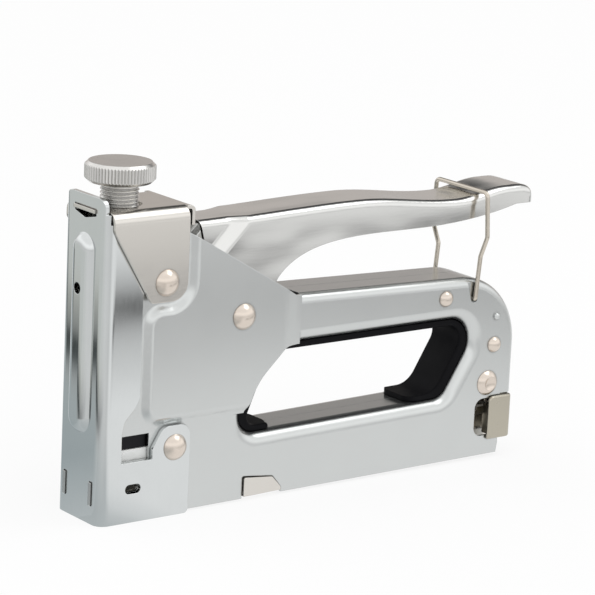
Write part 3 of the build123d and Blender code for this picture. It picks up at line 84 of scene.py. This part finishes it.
# Floor: its paint, and what mirror rays see of it, by distance in metres
FLOOR_HALF = 4.0
FLOOR_PAINT = (0.86, 0.86, 0.86, 1.0)
FLOOR_SHADOW = 0.15       # share of the painted floor, with its shadow, in the camera's view
WHITE = (1.0, 1.0, 1.0, 1.0)
FRONT_SHADES = [
    (0.0, 1.05), (0.13, 1.05), (0.145, 1.0), (0.165, 0.9), (0.19, 0.82), (0.21, 0.72),
    (0.225, 0.6), (0.236, 0.42), (0.246, 0.16), (0.264, 0.14), (0.272, 0.45), (0.285, 0.62),
    (0.30, 0.74), (0.325, 0.94), (0.35, 1.02), (1.0, 1.02),
]
LEFT_START_X = 0.1        # the left shades count from here towards the nose
LEFT_SHADES = [
    (0.0, (1.0, 1.0, 1.0)), (0.07, (1.0, 1.0, 1.0)), (0.1, (0.43, 0.485, 0.505)),
    (0.178, (0.5, 0.545, 0.555)), (0.187, (0.49, 0.525, 0.53)), (0.196, (0.46, 0.48, 0.48)),
    (0.205, (0.3, 0.32, 0.32)), (0.213, (0.07, 0.08, 0.08)), (0.228, (0.06, 0.07, 0.07)),
    (0.236, (0.33, 0.34, 0.33)), (0.265, (0.52, 0.53, 0.5)), (0.28, (0.68, 0.69, 0.66)),
    (0.31, (0.72, 0.74, 0.72)), (1.0, (0.8, 0.8, 0.8)),
]
RIGHT_SHADES = [(0.0, 1.0), (0.2, 1.0), (0.27, 0.87), (0.34, 0.74), (1.0, 0.74)]
RIGHT_FADE = (0.215, 0.245)
CORNER_X = 0.02           # the corner shades fan out from here, by sideways over forward
CORNER_SPAN = -2.0
CORNER_SHADES = [(0.0, 0.86), (0.4, 0.85), (0.6, 0.82), (0.78, 0.78), (0.94, 1.04), (1.0, 1.04)]
BESIDE_LEAN = 0.25
BESIDE_FADE = (-0.02, 0.03)
BEFORE_FADE = (-0.12, 0.06)

# Studio: brightness by height, 0 at the horizon and 1 overhead
REAR_SKY = [
    (0.0, (0.51, 0.475, 0.455)), (0.24, (0.64, 0.595, 0.565)), (0.34, (0.34, 0.33, 0.32)),
    (0.42, (0.08, 0.08, 0.08)), (0.72, (0.06, 0.06, 0.06)), (0.80, (0.4, 0.4, 0.4)),
    (0.90, (1.0, 1.0, 1.0)), (1.0, (1.2, 1.2, 1.2)),
]
OPEN_SKY = [(0.0, 0.75), (0.1, 1.0), (0.25, 1.25), (0.4, 1.3), (0.6, 1.1), (0.8, 1.1), (1.0, 1.2)]
RIGHT_SKY_FADE = (-0.1, 0.35)
BACK_SKY_FADE = (-0.1, 0.3)
KEY_SPOT = (0.55, -0.25, 0.95)
KEY_AIM = (0.09, 0.0, 0.06)
KEY_SIZE = (0.7, 0.5)
KEY_RADIANCE = 1.3


def place_camera():
    """Put the camera where the photograph was taken from."""
    a = math.radians(AZIMUTH)
    e = math.radians(ELEVATION)
    roll = math.radians(ROLL)
    level = Vector((math.cos(a), math.sin(a), 0.0))
    rise = Vector((-math.sin(a) * math.sin(e), math.cos(a) * math.sin(e), math.cos(e)))
    back = Vector((math.sin(a) * math.cos(e), -math.cos(a) * math.cos(e), math.sin(e)))
    right = level * math.cos(roll) + rise * math.sin(roll)
    up = rise * math.cos(roll) - level * math.sin(roll)
    spot = back * DISTANCE + right * AIM_ACROSS + up * AIM_UP
    spot.x += AIM_SHIFT_X
    data = bpy.data.cameras.new("camera")
    data.sensor_width = SENSOR_MM
    data.sensor_fit = "HORIZONTAL"
    data.lens = FOCAL_PX * SENSOR_MM / FRAME_PX
    data.clip_start = CLIP_NEAR
    data.clip_end = CLIP_FAR
    camera = bpy.data.objects.new("camera", data)
    turn = Matrix((right, up, back)).transposed().to_4x4()
    camera.matrix_world = Matrix.Translation(spot) @ turn
    bpy.context.scene.collection.objects.link(camera)
    bpy.context.scene.camera = camera


class Tree:
    """A small helper that adds nodes to a material or world and links them."""

    def __init__(self, owner):
        owner.use_nodes = True
        self.tree = owner.node_tree
        self.tree.nodes.clear()

    def add(self, kind, inputs=None, **settings):
        node = self.tree.nodes.new(kind)
        for key, value in settings.items():
            setattr(node, key, value)
        for key, value in (inputs or {}).items():
            self.put(node.inputs[key], value)
        return node

    def put(self, socket, value):
        if isinstance(value, bpy.types.NodeSocket):
            self.tree.links.new(value, socket)
        else:
            socket.default_value = value

    def math(self, operation, a, b=0.0, clamp=False):
        node = self.add("ShaderNodeMath", {0: a, 1: b}, operation=operation, use_clamp=clamp)
        return node.outputs[0]

    def remap(self, value, low, high, to_low=0.0, to_high=1.0):
        node = self.add("ShaderNodeMapRange", {0: value, 1: low, 2: high, 3: to_low, 4: to_high})
        return node.outputs[0]

    def blend(self, factor, a, b, mode="MIX"):
        inputs = {MIX_FACTOR: factor, MIX_A: a, MIX_B: b}
        node = self.add("ShaderNodeMix", inputs, data_type="RGBA", blend_type=mode)
        return node.outputs[MIX_RESULT]

    def noise(self, where, scale, detail, rough):
        inputs = {"Vector": where, "Scale": scale, "Detail": detail, "Roughness": rough}
        return self.add("ShaderNodeTexNoise", inputs).outputs["Fac"]

    def ramp(self, value, stops):
        """A smooth scale of colours along a value from 0 to 1."""
        node = self.add("ShaderNodeValToRGB", {0: value})
        band = node.color_ramp
        while len(band.elements) < len(stops):
            band.elements.new(0.5)
        for element, (place, colour) in zip(band.elements, stops):
            element.position = place
            element.color = rgba(colour)
        return node.outputs[0]

    def stretched(self, where, scale):
        return self.add("ShaderNodeMapping", {"Vector": where, "Scale": scale}).outputs[0]

    def relief(self, height, strength, depth, normal):
        inputs = {"Strength": strength, "Distance": depth, "Height": height, "Normal": normal}
        return self.add("ShaderNodeBump", inputs).outputs[0]

    def softened(self, radius):
        return self.add("ShaderNodeBevel", {"Radius": radius}, samples=BEVEL_SAMPLES).outputs[0]


def greys(stops):
    """Stops of plain grey for a ramp."""
    return [(place, (level, level, level)) for place, level in stops]


def rgba(colour, gain=1.0):
    """A colour with full opacity, made brighter or darker by a gain."""
    return (colour[0] * gain, colour[1] * gain, colour[2] * gain, 1.0)


def edge_mask(t, soft_normal):
    """How much the softened normal leaves the true one: 1 on sharp edges, 0 on flats."""
    plain = t.add("ShaderNodeNewGeometry").outputs["Normal"]
    dot = t.add("ShaderNodeVectorMath", {0: soft_normal, 1: plain}, operation="DOT_PRODUCT")
    return t.remap(dot.outputs["Value"], EDGE_FLAT, EDGE_SHARP)


def with_painted_shade(t, colour, depth):
    """The colour with painted shade: darkened by ambient occlusion in grooves and along the foot of
    whatever stands on it.
    """
    air = t.add("ShaderNodeAmbientOcclusion", {"Distance": PAINTED_SHADE_REACH}, samples=PAINTED_SHADE_SAMPLES)
    shade = t.remap(air.outputs["AO"], PAINTED_SHADE_FULL, PAINTED_SHADE_NONE, 1.0 - depth, 1.0)
    node = t.add("ShaderNodeVectorMath", {0: colour, 1: shade}, operation="MULTIPLY")
    return node.outputs[0]


def blank(name, inputs):
    """A new material, its tree, its surface shader and the place on the object."""
    material = bpy.data.materials.new(name)
    t = Tree(material)
    out = t.add("ShaderNodeOutputMaterial")
    shader = t.add("ShaderNodeBsdfPrincipled", inputs)
    t.put(out.inputs["Surface"], shader.outputs[0])
    return material, t, shader, t.add("ShaderNodeTexCoord").outputs["Object"]


def plated(name, colour, rough, spread=0.06, lay=(1.0, 1.0, 1.0), grain=1400.0, bump=0.05,
           edge=0.0003, cloud=70.0, mottle=0.06, worn=0.05, painted_shade=0.0, ripple=0.0):
    """Plated or bare metal: clouded, brushed along lay, rubbed on edges, painted shade in grooves, rippled.
    """
    material, t, shader, where = blank(name, {"Metallic": 1.0})
    clouds = t.noise(where, cloud, *CLOUD_NOISE)
    streaks = t.noise(t.stretched(where, lay), grain, *STREAK_NOISE)
    soft = t.softened(edge)
    rubbed = edge_mask(t, soft)
    tone = t.math("ADD", t.math("MULTIPLY", clouds, CLOUD_SHARE), t.math("MULTIPLY", streaks, STREAK_SHARE))
    base = t.blend(tone, rgba(colour, 1.0 - mottle), rgba(colour, 1.0 + mottle))
    bare = t.math("MULTIPLY", rubbed, worn * RUB_GAIN, True)
    bright = t.blend(bare, base, rgba(colour, RUBBED_TONE))
    # painted shade: the colour is darkened in grooves and along the foot of parts
    t.put(shader.inputs["Base Color"], with_painted_shade(t, bright, painted_shade) if painted_shade else bright)
    dull = t.remap(tone, TONE_LOW, TONE_HIGH, rough - spread, rough + spread)
    t.put(shader.inputs["Roughness"], t.math("SUBTRACT", dull, t.math("MULTIPLY", rubbed, worn)))
    normal = soft
    if ripple:
        waves = t.noise(t.stretched(where, RIPPLE_LAY), RIPPLE_SCALE, *RIPPLE_NOISE)
        normal = t.relief(waves, ripple, RIPPLE_DEPTH, soft)
    t.put(shader.inputs["Normal"], t.relief(streaks, bump, GRAIN_DEPTH, normal))
    return material


def moulded(name, colour, rough, shine=0.5, grain=1800.0, bump=0.12, edge=0.0005):
    """Moulded plastic: fine spark-eroded grain, faint handling marks."""
    material, t, shader, where = blank(name, {"Metallic": 0.0, "Specular IOR Level": shine})
    fine = t.noise(where, grain, *FINE_NOISE)
    marks = t.noise(where, MARK_SCALE, *MARK_NOISE)
    soft = t.softened(edge)
    t.put(shader.inputs["Base Color"], t.blend(marks, rgba(colour, MARK_DARK), rgba(colour, MARK_LIGHT)))
    dull = t.remap(marks, TONE_LOW, TONE_HIGH, rough - MARK_SMOOTHER, rough + MARK_DULLER)
    t.put(shader.inputs["Roughness"], dull)
    t.put(shader.inputs["Normal"], t.relief(fine, bump, MOULD_DEPTH, soft))
    return material


# Where a finish darkens its grooves and the foot of parts, that darkening is painted shade
METALS = {
    "zinc_sheet": dict(colour=(0.59, 0.605, 0.6), rough=0.26, spread=0.008, lay=ALONG, bump=0.003,
                       mottle=0.03, painted_shade=0.6),
    "nose_sheet": dict(colour=(0.63, 0.65, 0.65), rough=0.085, spread=0.02, lay=UPRIGHT, bump=0.006,
                       worn=0.02),
    "nickel_sheet": dict(colour=(0.66, 0.635, 0.595), rough=0.2, spread=0.04, lay=ALONG, bump=0.015,
                         painted_shade=0.5),
    "nickel_rivet": dict(colour=(0.68, 0.605, 0.535), rough=0.22, spread=0.05, grain=900.0,
                         bump=0.015, painted_shade=0.5),
    "handle_plate": dict(colour=(0.665, 0.665, 0.65), rough=0.15, spread=0.03, lay=ALONG, bump=0.01,
                         ripple=0.35),
    "knob_steel": dict(colour=(0.68, 0.67, 0.65), rough=0.24, spread=0.05, bump=0.03, painted_shade=0.5),
    "spring_wire": dict(colour=(0.58, 0.53, 0.46), rough=0.22, spread=0.05, lay=UPRIGHT, bump=0.03),
    "dull_nickel": dict(colour=(0.46, 0.43, 0.36), rough=0.3, spread=0.05, lay=UPRIGHT, bump=0.02),
    "inner_steel": dict(colour=(0.5, 0.5, 0.49), rough=0.35, lay=ALONG, bump=0.03),
    "dark_steel": dict(colour=(0.02, 0.02, 0.022), rough=0.45),
}
PLASTICS = {
    "black_plastic": dict(colour=(0.005, 0.005, 0.006), rough=0.55, shine=0.06),
    "pale_plastic": dict(colour=(0.72, 0.73, 0.72), rough=0.4),
}


def dress():
    """Give every CAD node the finish of its material slot."""
    finishes = {slot: plated(slot, **look) for slot, look in METALS.items()}
    finishes.update({slot: moulded(slot, **look) for slot, look in PLASTICS.items()})
    for row in frame["record"]["subparts"]:
        mesh = nodes[row["node"]].data
        mesh.materials.clear()
        mesh.materials.append(finishes[row["material_slot"]])


def seen_white(t):
    """1 for rays that show the backdrop itself or its mirror image."""
    path = t.add("ShaderNodeLightPath")
    seen = t.math("MAXIMUM", path.outputs["Is Camera Ray"], path.outputs["Is Glossy Ray"])
    return t.math("MAXIMUM", seen, path.outputs["Is Transmission Ray"])


def mirrored_shades(t):
    """The floor's brightness in mirror rays: bands in front, to the left and at the corner between."""
    split = t.add("ShaderNodeSeparateXYZ", {0: t.add("ShaderNodeTexCoord").outputs["Object"]})
    x, y = split.outputs[0], split.outputs[1]
    ahead = t.math("MULTIPLY", y, -1.0)
    left = t.ramp(t.math("SUBTRACT", LEFT_START_X, x), LEFT_SHADES)
    darker = t.remap(ahead, *RIGHT_FADE, 1.0, 0.0)
    front = t.blend(darker, t.ramp(ahead, greys(FRONT_SHADES)), t.ramp(x, greys(RIGHT_SHADES)), "MULTIPLY")
    slant = t.math("DIVIDE", t.math("SUBTRACT", x, CORNER_X), ahead)
    corner = t.ramp(t.remap(slant, CORNER_SPAN, 0.0), greys(CORNER_SHADES))
    beside = t.remap(t.math("ADD", x, t.math("MULTIPLY", y, BESIDE_LEAN)), *BESIDE_FADE)
    before = t.remap(y, *BEFORE_FADE)
    return t.blend(before, t.blend(beside, corner, front), left)


def floor():
    """A wide plain floor that looks white, keeps a faint shadow and is graded in mirror rays."""
    mesh = bpy.data.meshes.new("floor")
    r = FLOOR_HALF
    mesh.from_pydata([(-r, -r, 0), (r, -r, 0), (r, r, 0), (-r, r, 0)], [], [(0, 1, 2, 3)])
    thing = bpy.data.objects.new("floor", mesh)
    bpy.context.scene.collection.objects.link(thing)
    material = bpy.data.materials.new("floor_paint")
    t = Tree(material)
    out = t.add("ShaderNodeOutputMaterial")
    paint = t.add("ShaderNodeBsdfDiffuse", {"Color": FLOOR_PAINT})
    camera = t.add("ShaderNodeLightPath").outputs["Is Camera Ray"]
    shown = t.blend(camera, mirrored_shades(t), WHITE)
    white = t.add("ShaderNodeEmission", {"Color": shown, "Strength": 1.0})
    share = t.math("SUBTRACT", seen_white(t), t.math("MULTIPLY", camera, FLOOR_SHADOW))
    mixed = t.add("ShaderNodeMixShader", {0: share, 1: paint.outputs[0], 2: white.outputs[0]})
    t.put(out.inputs["Surface"], mixed.outputs[0])
    mesh.materials.append(material)


def studio():
    """A soft room: bright on most sides, with a warm low band and a dark middle at the rear right."""
    world = bpy.data.worlds.new("studio")
    bpy.context.scene.world = world
    t = Tree(world)
    out = t.add("ShaderNodeOutputWorld")
    where = t.add("ShaderNodeTexCoord").outputs["Generated"]
    split = t.add("ShaderNodeSeparateXYZ", {0: where})
    x, y, z = split.outputs[0], split.outputs[1], split.outputs[2]
    rear_right = t.math("MULTIPLY", t.remap(x, *RIGHT_SKY_FADE), t.remap(y, *BACK_SKY_FADE))
    shade = t.blend(rear_right, t.ramp(z, greys(OPEN_SKY)), t.ramp(z, REAR_SKY))
    sky = t.add("ShaderNodeBackground", {"Color": shade, "Strength": 1.0})
    white = t.add("ShaderNodeBackground", {"Color": WHITE, "Strength": 1.0})
    camera = t.add("ShaderNodeLightPath").outputs["Is Camera Ray"]
    mixed = t.add("ShaderNodeMixShader", {0: camera, 1: sky.outputs[0], 2: white.outputs[0]})
    t.put(out.inputs["Surface"], mixed.outputs[0])


def softbox(name, spot, aim, size, radiance):
    """A rectangular soft lamp whose face has the given brightness."""
    data = bpy.data.lights.new(name, "AREA")
    data.shape = "RECTANGLE"
    data.size = size[0]
    data.size_y = size[1]
    data.energy = radiance * math.pi * size[0] * size[1]
    lamp = bpy.data.objects.new(name, data)
    lamp.location = spot
    lamp.rotation_euler = (Vector(aim) - Vector(spot)).to_track_quat("-Z", "Y").to_euler()
    bpy.context.scene.collection.objects.link(lamp)


place_camera()
dress()
floor()
studio()
softbox("key", KEY_SPOT, KEY_AIM, KEY_SIZE, KEY_RADIANCE)

bpy.context.scene.view_settings.view_transform = "Standard"
